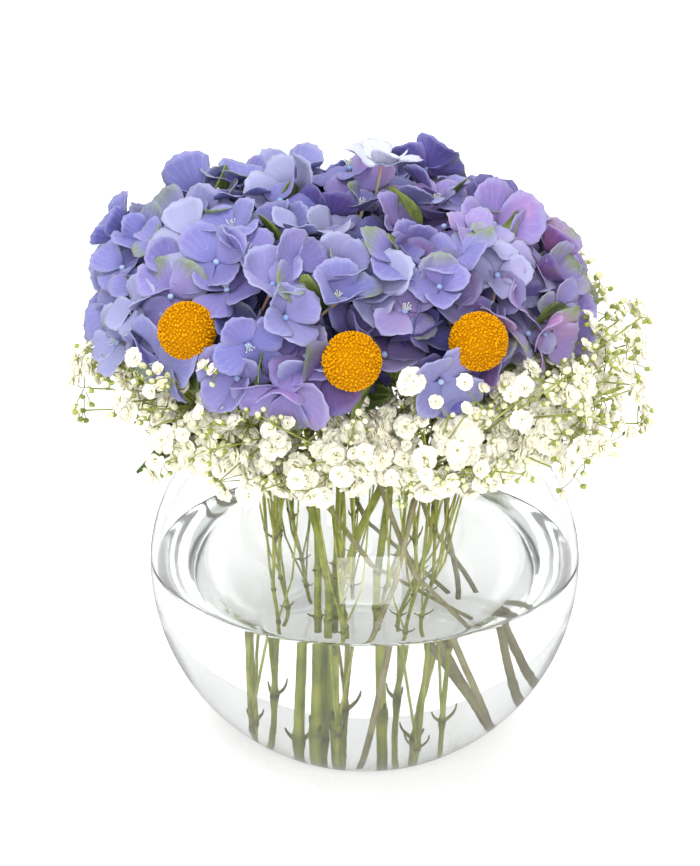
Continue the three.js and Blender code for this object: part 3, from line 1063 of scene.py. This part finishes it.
def add_stubs(bunch, rng, path, places, stem, reach, thick):
    """Short hooked stubs in pairs at each knot, leaning up and curling back at the tip."""
    at = np.tile(at_heights(path, places), (2, 1))
    turn = rng.uniform(0, 2 * np.pi, len(places))
    turn = np.concatenate([turn, turn + np.pi])
    out = level_ways(turn)
    long_ = reach * rng.uniform(0.45, 1.0, (len(turn), 1))
    tips = at + out * (stem + long_ * 0.55) + UP * long_ * 0.8
    bow = out * long_ * 0.16
    radii = thick * np.array([1.2, 1.0, 0.75, 0.55, 0.35])
    darker = np.linspace(0.3, 0.85, 5)[None, :, None]
    bunch.stalks(at + out * stem * 0.3, tips, bow, 5, radii[None], 6, scar=darker)


class FLOWERS_OT_button_stems(bpy.types.Operator):
    """Make the billy buttons' straight grey-brown stems"""

    bl_idname = "flowers.button_stems"
    bl_label = "Button Stems"

    def execute(self, context):
        look = context.scene.flower_button
        dry = grown_material("button_stem", (0.3, 0.26, 0.12), (0.5, 0.46, 0.25), 0.8, 900.0)
        for name in nodes_named("billy_button_stem_"):
            path = stem_line(name, 70)
            height = path[:, 2]
            # the stem flares under the button by a bell curve
            flare = np.exp(-(((height - height[-1]) / (6 * MM)) ** 2)) * 0.5
            radius = look.stem * (1.1 - 0.2 * height / height[-1] + flare)
            bunch = Bunch()
            bunch.add(ribbed(path, radius, 16, 5, 0.05), closed=True)
            bunch.make(f"{name}_grown", [dry], name)
        return {"FINISHED"}


class FLOWERS_OT_breath_stems(bpy.types.Operator):
    """Make the baby's breath stems, which fork above the water and have swollen knots"""

    bl_idname = "flowers.breath_stems"
    bl_label = "Baby's Breath Stems"

    def execute(self, context):
        look = context.scene.flower_breath
        rng = np.random.default_rng(23)
        skin = grown_material("breath_stem", (0.32, 0.35, 0.035), (0.58, 0.6, 0.13), 0.5, 800.0)
        bowl = context.scene.flower_bowl
        mouth = float(bowl_radius(bowl, np.array(bowl.height - 5 * MM), bowl.wall))
        for name in nodes_named("babys_breath_stem_"):
            path = stem_line(name, 80)
            height = path[:, 2] / path[-1, 2]
            places, hump, ring = knotted(rng, path, (0.028, 0.063, 0.104), 7, 2.2, 1.5)
            radius = look.stem * (1.1 - 0.25 * height) + hump * 0.55 * MM
            bunch = Bunch()
            bunch.add(rods(path[None], radius[None], 12), closed=True, scar=(0.8 * ring)[None, :, None])
            add_stubs(bunch, rng, path, places, look.stem, 8 * MM, 0.6 * MM)
            add_forks(bunch, rng, path, places, look.stem, mouth - 4 * MM)
            bunch.make(f"{name}_grown", [skin], name)
        return {"FINISHED"}


NECK = np.array([0, 0, 0.153])


def add_forks(bunch, rng, path, places, stem, rim):
    """Side stems that leave the knots and run up through the bowl's mouth beside the main stem.

    Each runs straight from its knot, bowed outwards by a half sine, and leans over past the rim.
    """
    low = np.repeat(places, 2) + np.array([0, 3, 0, 3, 0, 3]) * MM
    many = len(low)
    start = at_heights(path, low)
    sway = np.array([-1, 1, -0.55, 0.55, -0.25, 0.25]) * rng.uniform(0.24, 0.4, many)
    way = level_ways(math.atan2(path[-1, 1], path[-1, 0]) + sway)
    neck = way * rim * rng.uniform(0.72, 0.95, (many, 1)) + NECK
    end = way * (rim + 8 * MM) + UP * rng.uniform(0.164, 0.172, (many, 1))
    across = np.cross(neck - start, way)
    lower = bent(start, neck, unit(across) * rng.uniform(-3, 3, (many, 1)) * MM, 12)
    upper = neck[:, None] + (end - neck)[:, None] * np.linspace(0.2, 1, 5)[:, None]
    radii = stem * np.linspace(0.66, 0.38, 17)
    bunch.add(rods(np.concatenate([lower, upper], axis=1), radii[None], 6), closed=True)


# ---------------------------------------------------------------- the billy buttons


class FLOWERS_OT_buttons(bpy.types.Operator):
    """Make the billy buttons, each a ball packed with tiny florets"""

    bl_idname = "flowers.buttons"
    bl_label = "Billy Buttons"

    def execute(self, context):
        look = context.scene.flower_button
        rng = np.random.default_rng(31)
        material = button_material(look)
        for name in BUTTONS:
            low, high = corners(name)
            radius = float(np.max(high - low)) / 2
            centre = (low + high) / 2
            ways = unit(spread_on_ball(look.florets) + rng.normal(0, 0.028, (look.florets, 3)))
            bunch = Bunch()
            core = radius - 1.1 * MM
            bunch.beads(centre[None], UP[None], core, core, 24, 32, top=0.0)
            wide = radius / math.sqrt(look.florets) * 1.62
            size = rng.uniform(0.62, 1.15, look.florets)
            base = centre + ways * (radius - 0.9 * MM)
            top = np.array([0.0, 0.15, 0.7, 1.0])[None, :, None]
            top = top * rng.uniform(0.5, 1, (look.florets, 1, 1))
            bunch.beads(base, ways, wide * size, 1.15 * wide * size, 4, 6, top=top)
            bunch.make(f"{name}_florets", [material], name)
        return {"FINISHED"}


# ---------------------------------------------------------------- the baby's breath


SPRAY_MIDDLE = (0.08, 0.177)  # from the bowl's axis, and in height
SPRAY_FOOT = (0.056, 0.161)
ROOM_AT_BUTTON = 17 * MM
BEYOND_THE_BOX = 7 * MM


def thinned(points, least):
    """The points that are left when each one too near an earlier one is dropped."""
    kept = []
    for point in points:
        if not kept or np.min(np.linalg.norm(np.array(kept) - point, axis=1)) > least:
            kept.append(point)
    return np.array(kept)


def clear_of_the_rest(context, points, margin):
    """Which points lie outside the dome, the bowl and the buttons, and not far beyond the CAD box."""
    look = context.scene.flower_hydrangea
    bowl = context.scene.flower_bowl
    centre, radius = dome_frame(look)
    offset = points - centre
    tall = np.where(offset[:, 2] > 0, look.rise, look.depth)
    inside = np.hypot(*(offset[:, :2] / radius).T) ** 2 + (offset[:, 2] / tall) ** 2 < 0.92
    away = np.hypot(points[:, 0], points[:, 1])
    height = np.clip(points[:, 2], 0, bowl.height)
    inside |= (points[:, 2] < bowl.height + margin) & (away < bowl_radius(bowl, height, -margin))
    for name in BUTTONS:
        inside |= np.linalg.norm(points - middle(name), axis=1) < ROOM_AT_BUTTON
    low, high = np.array(CAD_BOX)
    beyond = np.any((points < low - BEYOND_THE_BOX) | (points > high + BEYOND_THE_BOX), axis=1)
    return ~(inside | beyond)


# a flower's rings: petals, steepness and share in size
OPEN_RINGS = ((8, 0.0, 1.0), (7, 0.45, 0.88), (5, 0.85, 0.72), (3, 1.2, 0.55))
HALF_RINGS = ((6, 0.5, 1.0), (5, 0.95, 0.86), (3, 1.25, 0.7))


def add_blooms(bunch, rng, centres, axes, radii, rings):
    """Flowers of rings of petals.

    A petal's length runs from 0 to 1. Its width swells as a sine of that, its tip is round, it
    curls back as a square of its length, and its sides fold up as a square of the distance across.
    """
    many = len(centres)
    side, over = frames(axes, rng.uniform(0, 6.28, many))
    u, v = np.meshgrid([0.0, 0.6, 1.0], [-1.0, 0.0, 1.0], indexing="ij")
    for petals, lift, share in rings:
        vary = functools.partial(rng.uniform, size=(many, petals, 1, 1))
        long_ = radii[:, None, None, None] * share * vary(0.84, 1.08)
        wide = long_ * vary(0.4, 0.54) * (1 + 0.3 * (petals < 7))
        px = long_ * (0.05 + u * (1 - 0.17 * v**2 * (u > 0.9)))
        py = wide * v * (0.25 + 0.75 * np.sin(u * 2.05))
        pz = long_ * (vary(-0.3, 0.05) * u**2 + vary(-0.05, 0.3) * v**2 * u)
        px, pz = turned(px, pz, lift + vary(-0.2, 0.2))
        turn = np.arange(petals)[None, :, None, None] * 2 * np.pi / petals + lift + vary(-0.25, 0.25)
        px, py = turned(px, py, turn)
        grid = laid(centres, (side, over, axes), (px, py, pz))
        bunch.add(grid.reshape(many * petals, 3, 3, 3))


def add_needles(bunch, rng, starts, ways):
    """Narrow leaves: sheets whose width swells as a sine of their length, folded along the middle."""
    side, over = frames(ways, rng.uniform(0, 6.28, len(ways)))
    u, v = np.meshgrid(np.linspace(0, 1, 6), [-1.0, 0.0, 1.0], indexing="ij")
    long_ = rng.uniform(8, 17, (len(ways), 1, 1)) * MM
    wide = 0.75 * MM * (0.25 + np.sin(np.pi * u**0.7))
    rise = long_ * rng.uniform(-0.3, 0.3, (len(ways), 1, 1)) * u**2 + 0.3 * MM * np.abs(v)
    bunch.add(laid(starts, (ways, side, over), (long_ * u, wide * v, rise)))


def branch_ends(rng, blooms, foot, many, share, hubs=None):
    """Forking places: for each of some chosen blooms, a share of the way to it from the nearest hub."""
    seeds = blooms[rng.permutation(len(blooms))[:many]]
    hubs = np.tile(foot, (many, 1)) if hubs is None else nearest(seeds, hubs)
    return hubs, hubs + (seeds - hubs) * share


def nearest(points, hubs):
    """For each point, the hub that is nearest to it."""
    gap = np.linalg.norm(points[:, None] - hubs[None], axis=-1)
    return hubs[gap.argmin(axis=1)]


def spray_places(context, rng, name, look):
    """Where one spray's flowers sit, with the spray's middle and outward direction.

    They fill a tilted spheroid that leans outwards, and a few loose ones stand beyond it on long
    stalks, all clear of the heads and the bowl.
    """
    turn = math.atan2(*middle(name)[1::-1])
    out = level_ways(turn)
    tangent = level_ways(turn + math.pi / 2)
    centre = out * SPRAY_MIDDLE[0] + UP * SPRAY_MIDDLE[1]
    tries, strays = 2600, 46
    along = out * math.cos(look.tilt) + UP * math.sin(look.tilt)
    over = np.cross(along, tangent)
    inside = unit(rng.normal(0, 1, (tries, 3))) * rng.uniform(0.25, 1, (tries, 1)) ** 0.4
    inside = inside[rng.uniform(0, 1, tries) > np.clip(inside[:, 0] * 1.6 - 0.35, 0, 0.97)]
    local = inside * [look.along, look.across, look.thick]
    points = centre + local @ np.stack([along, tangent, over])
    reach = rng.uniform(0.106, 0.131, strays)
    heading = turn + rng.uniform(-0.36, 0.36, strays)
    height = rng.uniform(0.166, 0.214, strays)
    loose = level_ways(heading) * reach[:, None] + UP * height[:, None]
    loose = loose[clear_of_the_rest(context, loose, 8 * MM)]
    loose = thinned(loose, 2.2 * look.spacing)
    tufts = (loose[:, None] + rng.normal(0, 4.4 * MM, (len(loose), 6, 3))).reshape(-1, 3)
    tufts = thinned(tufts[clear_of_the_rest(context, tufts, 4 * MM)], 3.4 * MM)
    points = thinned(points[clear_of_the_rest(context, points, 4 * MM)], look.spacing)
    return np.concatenate([points, tufts]), loose, centre, out


def add_flowers(bunch, look, rng, places, ways):
    """Full and half-open flowers at most of the places. Gives back which places have one."""
    many = len(places)
    far = np.hypot(places[:, 0], places[:, 1]) > 0.11
    kind = rng.uniform(0, 1, many) + 0.35 * far
    open_ = kind < 0.7
    full = kind < 0.46
    share = np.where(full, rng.uniform(0.84, 1.12, many), rng.uniform(0.5, 0.78, many))
    for chosen, rings in ((full, OPEN_RINGS), (open_ & ~full, HALF_RINGS)):
        add_blooms(bunch, rng, places[chosen], ways[chosen], look.bloom * share[chosen], rings)
    return open_


def add_twigs(bunch, rng, places, ways, open_, loose, foot, out):
    """Buds, calyxes and the fine stalks that fork twice on their way from the spray's foot to them.

    Gives back where the stalks fork and where their second branches end.
    """
    size = rng.uniform(0.9, 1.8, int((~open_).sum())) * MM
    bunch.beads(places[~open_], ways[~open_], size, size * 1.15, 6, 8, squeeze=0.3, slot=1)
    base = places - ways * np.where(open_, 0.9 * MM, 1.6 * MM)[:, None]
    cup = np.where(open_, 1.25 * MM, 1.3 * MM)
    bunch.beads(base, ways, cup, cup * 1.25, 4, 6)
    start, forks = branch_ends(rng, places, foot, 7, 0.5)
    bow = rng.normal(0, 1.5 * MM, (len(forks), 3))
    radii = np.linspace(0.8, 0.55, 6) * MM
    bunch.stalks(start, forks, bow, 6, radii[None], 6)
    start, ends = branch_ends(rng, places, foot, 26, 0.55, forks)
    start = np.concatenate([start, nearest(loose, forks)])
    ends = np.concatenate([ends, loose - 2 * MM * out])
    bow = rng.normal(0, 1.0 * MM, (len(ends), 3))
    bunch.stalks(start, ends, bow, 5, 0.4 * MM, 4)
    bow = rng.normal(0, 0.8 * MM, (len(places), 3))
    bunch.stalks(nearest(base, ends), base, bow, 4, 0.25 * MM, 4)
    return forks, ends


class FLOWERS_OT_sprays(bpy.types.Operator):
    """Make the sprays of baby's breath: flowers, buds and fine forking stalks"""

    bl_idname = "flowers.sprays"
    bl_label = "Baby's Breath"

    def execute(self, context):
        look = context.scene.flower_breath
        rng = np.random.default_rng(43)
        petal = petal_material(look)
        green = [value * 0.5 for value in look.green]
        stalk = grown_material("breath_stalk", green, look.green, 0.55, 900.0)
        bud = grown_material("breath_bud", (0.7, 0.7, 0.38), (0.9, 0.88, 0.68), 0.6, 900.0)
        for name in SPRAYS:
            places, loose, centre, out = spray_places(context, rng, name, look)
            foot = out * SPRAY_FOOT[0] + UP * SPRAY_FOOT[1]
            ways = unit(places - foot) + 0.9 * unit(places - centre)
            ways = unit(ways + rng.normal(0, 0.3, places.shape))
            short = name.removeprefix("babys_breath_")
            flowers = Bunch()
            open_ = add_flowers(flowers, look, rng, places, ways)
            flowers.make(f"breath_flowers_{short}", [petal], name, thickness=0.14 * MM)
            twigs = Bunch()
            forks, ends = add_twigs(twigs, rng, places, ways, open_, loose, foot, out)
            twigs.make(f"breath_stalks_{short}", [stalk, bud], name)
            needles = Bunch()
            starts = np.concatenate([ends[:12], forks, ends[12:20] * 0.4 + foot * 0.6])
            way = unit(starts - foot + rng.normal(0, 12 * MM, starts.shape) + out * 8 * MM)
            add_needles(needles, rng, starts, way)
            needles.make(f"breath_needles_{short}", [stalk], name, thickness=0.2 * MM)
        return {"FINISHED"}


# ---------------------------------------------------------------- leaves


LEAF_START = 62 * MM  # from the bowl's axis
LEAF_LENGTH = 44 * MM
LEAF_HALF_WIDTH = 13 * MM


def leaf_blade(rng, name):
    """A leaf that leaves the bowl's mouth level and droops outwards.

    Its width swells and closes as a sine of its length, it sinks by its length and the square of
    it, its sides rise as a square of the distance across, and its edges wave as a sine.
    """
    low, high = corners(name)
    centre = (low + high) / 2
    turn = math.atan2(centre[1], centre[0])
    start = level_ways(turn) * LEAF_START + UP * (high[2] - 0.5 * MM)
    u, v = np.meshgrid(np.linspace(0, 1, 15), np.linspace(-1, 1, 9), indexing="ij")
    wide = LEAF_HALF_WIDTH * np.sin(np.pi * np.clip(u, 0.015, 0.985) ** 0.8) ** 0.9
    rise = -(4 * u + 12 * u**2) * MM + 3.5 * MM * v**2 * np.sin(np.pi * u)
    rise = rise + 0.8 * MM * np.sin(9 * u + 3 * v + rng.uniform(0, 6)) * v**2
    ways = (level_ways(turn)[None], level_ways(turn + math.pi / 2)[None], UP[None])
    return laid(start[None], ways, (u[None] * LEAF_LENGTH, wide[None] * v, rise[None]))


class FLOWERS_OT_leaves(bpy.types.Operator):
    """Make the olive leaves that droop over the bowl's shoulder"""

    bl_idname = "flowers.leaves"
    bl_label = "Leaves"

    def execute(self, context):
        green = leaf_material("leaf_green", (0.035, 0.085, 0.012), (0.12, 0.2, 0.03))
        rng = np.random.default_rng(53)
        for name in LEAVES:
            bunch = Bunch()
            bunch.add(leaf_blade(rng, name))
            bunch.make(f"{name}_blade", [green], name, thickness=0.4 * MM)
        return {"FINISHED"}


# ---------------------------------------------------------------- the stage


# each lamp's place, the height on the bowl's axis that it faces, its size and its power in watts
LAMPS = {
    "key": ((-0.4, -0.4, 1.7), 0.2, 0.9, 17),
    "back": ((0.3, 0.8, 1.6), 0.2, 1.4, 14),
    "front": ((0.1, -1.9, 1.0), 0.18, 1.2, 32),
}


def add_lamp(name, place, height, size, power):
    """A square soft light that leaves no square reflection in the glass."""
    light = bpy.data.lights.new(name, "AREA")
    light.size = size
    light.energy = power
    lamp = bpy.data.objects.new(name, light)
    lamp.visible_glossy = False
    bpy.context.scene.collection.objects.link(lamp)
    lamp.location = place
    away = np.array(place) - [0, 0, height]
    level = math.hypot(away[0], away[1])
    lamp.rotation_euler = (math.atan2(level, away[2]), 0, math.atan2(away[0], -away[1]))


def add_floor():
    """A wide pale floor just under the bowl, out of the glass's reflections."""
    x, y = np.meshgrid([-8.0, 0.0, 8.0], [-8.0, 0.0, 8.0], indexing="ij")
    grid = np.stack([x, y, np.full_like(x, -0.3 * MM)], axis=-1).reshape(-1, 3)
    mesh = bpy.data.meshes.new("floor")
    mesh.from_pydata(grid, [], [(0, 3, 4, 1), (1, 4, 5, 2), (3, 6, 7, 4), (4, 7, 8, 5)])
    paper = grown_material("paper_floor", (0.8, 0.8, 0.79), (0.82, 0.82, 0.81), 0.9, 300.0)
    glow = paper.node_tree.nodes["Principled BSDF"].inputs
    glow["Emission Color"].default_value = (1, 1, 1, 1)
    glow["Emission Strength"].default_value = 0.5
    mesh.materials.append(paper)
    floor = bpy.data.objects.new("floor", mesh)
    bpy.context.scene.collection.objects.link(floor)
    floor.visible_glossy = False


def studio_world():
    """A plain white world, dimmer as a light than to the eye, and dimmer below in mirror rays."""
    world = bpy.data.worlds.new("studio")
    world.use_nodes = True
    tree = world.node_tree
    ray = add_node(tree, "ShaderNodeLightPath").outputs
    ends = {0: ray["Is Camera Ray"], 1: ray["Is Transmission Ray"]}
    seen = add_node(tree, "ShaderNodeMath", ends, operation="MAXIMUM").outputs[0]
    ends = {"Value": seen, "To Min": 0.46, "To Max": 1.0}
    plain = add_node(tree, "ShaderNodeMapRange", ends).outputs[0]
    # mirror rays are glossy but not transmitted
    ends = {0: ray["Is Glossy Ray"], 1: seen}
    mirrored = add_node(tree, "ShaderNodeMath", ends, operation="SUBTRACT", use_clamp=True).outputs[0]
    place = add_node(tree, "ShaderNodeTexCoord").outputs["Generated"]
    height = add_node(tree, "ShaderNodeSeparateXYZ", {0: place}).outputs[2]
    ends = {"Value": height, "From Min": -0.25, "From Max": 0.35, "To Min": 0.5, "To Max": 0.85}
    mirror = add_node(tree, "ShaderNodeMapRange", ends).outputs[0]
    strength = add_node(tree, "ShaderNodeMix", {0: mirrored, 2: plain, 3: mirror}).outputs[0]
    sky = tree.nodes["Background"].inputs
    sky["Color"].default_value = (1, 1, 1, 1)
    tree.links.new(strength, sky["Strength"])
    return world


class FLOWERS_OT_stage(bpy.types.Operator):
    """Set up the pale floor, the soft light and the camera"""

    bl_idname = "flowers.stage"
    bl_label = "Stage"

    def execute(self, context):
        scene = context.scene
        look = scene.flower_stage
        back = np.array([0, -math.cos(look.elevation), math.sin(look.elevation)])
        camera = bpy.data.cameras.new("camera")
        camera.lens = look.focal
        camera.sensor_fit = "HORIZONTAL"
        camera.sensor_width = 36
        camera.clip_start = 0.01
        holder = bpy.data.objects.new("camera", camera)
        scene.collection.objects.link(holder)
        holder.location = UP * scene.flower_bowl.waist + look.distance * back
        holder.rotation_euler = (math.pi / 2 - look.pitch, 0, look.yaw)
        scene.camera = holder

        add_floor()
        for name, values in LAMPS.items():
            add_lamp(name, *values)
        scene.world = studio_world()
        scene.view_settings.view_transform = "Standard"
        scene.cycles.max_bounces = 24
        scene.cycles.transmission_bounces = 20
        scene.cycles.glossy_bounces = 20
        scene.cycles.diffuse_bounces = 5
        return {"FINISHED"}


# ---------------------------------------------------------------- the panel and the add-on


OPERATORS = (
    FLOWERS_OT_stage,
    FLOWERS_OT_bowl,
    FLOWERS_OT_water,
    FLOWERS_OT_hydrangea_stems,
    FLOWERS_OT_button_stems,
    FLOWERS_OT_breath_stems,
    FLOWERS_OT_hydrangea_heads,
    FLOWERS_OT_buttons,
    FLOWERS_OT_sprays,
    FLOWERS_OT_leaves,
)


class FLOWERS_PT_panel(bpy.types.Panel):
    """The sizes and colours, and a button for each group of pieces"""

    bl_idname = "FLOWERS_PT_panel"
    bl_label = "Flower Bowl"
    bl_space_type = "VIEW_3D"
    bl_region_type = "UI"
    bl_category = "Flowers"

    def draw(self, context):
        for name, settings in SETTINGS.items():
            box = self.layout.box()
            box.label(text=settings.__doc__)
            for key in settings.__annotations__:
                box.prop(getattr(context.scene, name), key)
        for operator in OPERATORS:
            self.layout.operator(operator.bl_idname)


def register():
    """Adds the settings, the operators and the panel."""
    for settings in SETTINGS.values():
        bpy.utils.register_class(settings)
    for operator in (*OPERATORS, FLOWERS_PT_panel):
        bpy.utils.register_class(operator)
    for name, settings in SETTINGS.items():
        setattr(bpy.types.Scene, name, bpy.props.PointerProperty(type=settings))


def unregister():
    """Takes them away again."""
    for name in SETTINGS:
        delattr(bpy.types.Scene, name)
    for operator in (FLOWERS_PT_panel, *reversed(OPERATORS)):
        bpy.utils.unregister_class(operator)
    for settings in reversed(SETTINGS.values()):
        bpy.utils.unregister_class(settings)


def main():
    """Registers the add-on and makes every piece."""
    register()
    for operator in OPERATORS:
        group, name = operator.bl_idname.split(".")
        getattr(getattr(bpy.ops, group), name)()


if __name__ == "__main__":
    main()
